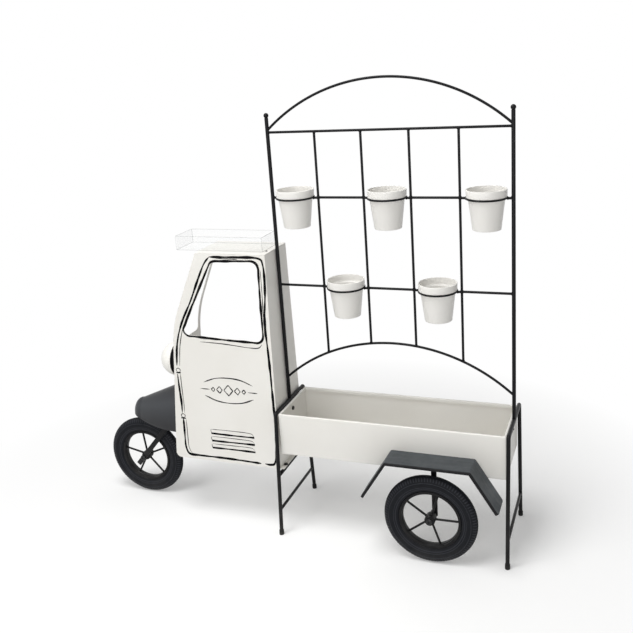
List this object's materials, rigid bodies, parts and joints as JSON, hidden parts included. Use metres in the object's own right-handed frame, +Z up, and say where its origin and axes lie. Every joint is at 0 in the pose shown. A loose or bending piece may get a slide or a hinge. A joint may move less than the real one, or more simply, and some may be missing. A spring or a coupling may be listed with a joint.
{
  "type": "flower cart stand",
  "caption": "Plant stand shaped like a three-wheeled cart: cab with clear roof tray, planter box on leg frames, rod trellis with hanging pots in wire rings.",
  "frame": {"origin": "on the floor, under the middle of the cart's overall box", "axes": "+X from the cab to the planter's right end, -Y is the show side with the cab's painted panel and the rear wheel, +Z up"},
  "size_m": [1.531, 0.3698, 1.499],
  "materials": {
    "cream_painted_steel": "cream powder coat, semi-gloss",
    "black_painted_steel": "black powder coat, satin",
    "charcoal_painted_steel": "charcoal powder coat, matt",
    "fender_gloss_black": "black paint, glossy",
    "wheel_black": "black powder coat, satin",
    "dark_bolt_steel": "blackened steel",
    "tyre_rubber": "dark grey rubber, matt",
    "foot_rubber": "black rubber caps",
    "pot_plastic": "off-white moulded plastic, soft gloss",
    "lamp_dome_white": "white dome, semi-gloss",
    "clear_tray_plastic": "clear acrylic, polished edges"
  },
  "bodies": {
    "stand": {"cab_bearer_bar": "black_painted_steel", "cab_bolt_back": "dark_bolt_steel", "cab_bolt_show": "dark_bolt_steel", "cab_front_panel": "cream_painted_steel", "cab_rear_panel": "cream_painted_steel", "cab_roof": "cream_painted_steel", "cab_screw_back": "dark_bolt_steel", "cab_screw_show": "dark_bolt_steel", "cab_side_panel": "cream_painted_steel", "foot_left_back": "foot_rubber", "foot_left_show": "foot_rubber", "foot_right_back": "foot_rubber", "foot_right_show": "foot_rubber", "front_axle": "dark_bolt_steel", "front_axle_nut": "dark_bolt_steel", "front_fender": "fender_gloss_black", "front_fork_bar": "black_painted_steel", "headlamp_dome": "lamp_dome_white", "headlamp_drum": "black_painted_steel", "leg_frame_left": "black_painted_steel", "leg_frame_right": "black_painted_steel", "leg_low_bar_left": "black_painted_steel", "leg_low_bar_right": "black_painted_steel", "planter_bolt_left": "dark_bolt_steel", "planter_bolt_right": "dark_bolt_steel", "planter_box": "cream_painted_steel", "pot_ring_middle_2": "black_painted_steel", "pot_ring_middle_4": "black_painted_steel", "pot_ring_upper_1": "black_painted_steel", "pot_ring_upper_3": "black_painted_steel", "pot_ring_upper_5": "black_painted_steel", "rear_axle": "dark_bolt_steel", "rear_axle_nut": "dark_bolt_steel", "rear_mudguard": "charcoal_painted_steel", "rear_strut": "black_painted_steel", "trellis_low_arch": "black_painted_steel", "trellis_middle_rail_1": "black_painted_steel", "trellis_middle_rail_3": "black_painted_steel", "trellis_middle_rail_5": "black_painted_steel", "trellis_post_left": "black_painted_steel", "trellis_post_right": "black_painted_steel", "trellis_top_arch": "black_painted_steel", "trellis_top_rail": "black_painted_steel", "trellis_upper_rail_2": "black_painted_steel", "trellis_upper_rail_4": "black_painted_steel", "trellis_upright_1": "black_painted_steel", "trellis_upright_2": "black_painted_steel", "trellis_upright_3": "black_painted_steel", "trellis_upright_4": "black_painted_steel"},
    "front_wheel": {"front_wheel_tyre": "tyre_rubber", "front_wheel_rim": "wheel_black"},
    "rear_wheel": {"rear_wheel_tyre": "tyre_rubber", "rear_wheel_rim": "wheel_black"},
    "tray": {"roof_tray": "clear_tray_plastic"},
    "pot_middle_2_body": {"pot_middle_2": "pot_plastic"},
    "pot_middle_4_body": {"pot_middle_4": "pot_plastic"},
    "pot_upper_1_body": {"pot_upper_1": "pot_plastic"},
    "pot_upper_3_body": {"pot_upper_3": "pot_plastic"},
    "pot_upper_5_body": {"pot_upper_5": "pot_plastic"}
  },
  "joints": [
    {"name": "front_wheel_spin", "type": "hinge", "parent": "stand", "child": "front_wheel", "pos_m": [-0.61545, 0.0214, 0.15], "axis": [0, 1, 0], "continuous": true},
    {"name": "rear_wheel_spin", "type": "hinge", "parent": "stand", "child": "rear_wheel", "pos_m": [0.5211, -0.1486, 0.15], "axis": [0, 1, 0], "continuous": true},
    {"name": "pot_middle_2_lift", "type": "slide", "parent": "stand", "child": "pot_middle_2_body", "axis": [0, 0, 1], "range_m": [0, 0.15]},
    {"name": "pot_middle_4_lift", "type": "slide", "parent": "stand", "child": "pot_middle_4_body", "axis": [0, 0, 1], "range_m": [0, 0.15]},
    {"name": "pot_upper_1_lift", "type": "slide", "parent": "stand", "child": "pot_upper_1_body", "axis": [0, 0, 1], "range_m": [0, 0.15]},
    {"name": "pot_upper_3_lift", "type": "slide", "parent": "stand", "child": "pot_upper_3_body", "axis": [0, 0, 1], "range_m": [0, 0.15]},
    {"name": "pot_upper_5_lift", "type": "slide", "parent": "stand", "child": "pot_upper_5_body", "axis": [0, 0, 1], "range_m": [0, 0.15]},
    {"name": "tray_lift", "type": "slide", "parent": "stand", "child": "tray", "axis": [0, 0, 1], "range_m": [0, 0.15]}
  ]
}
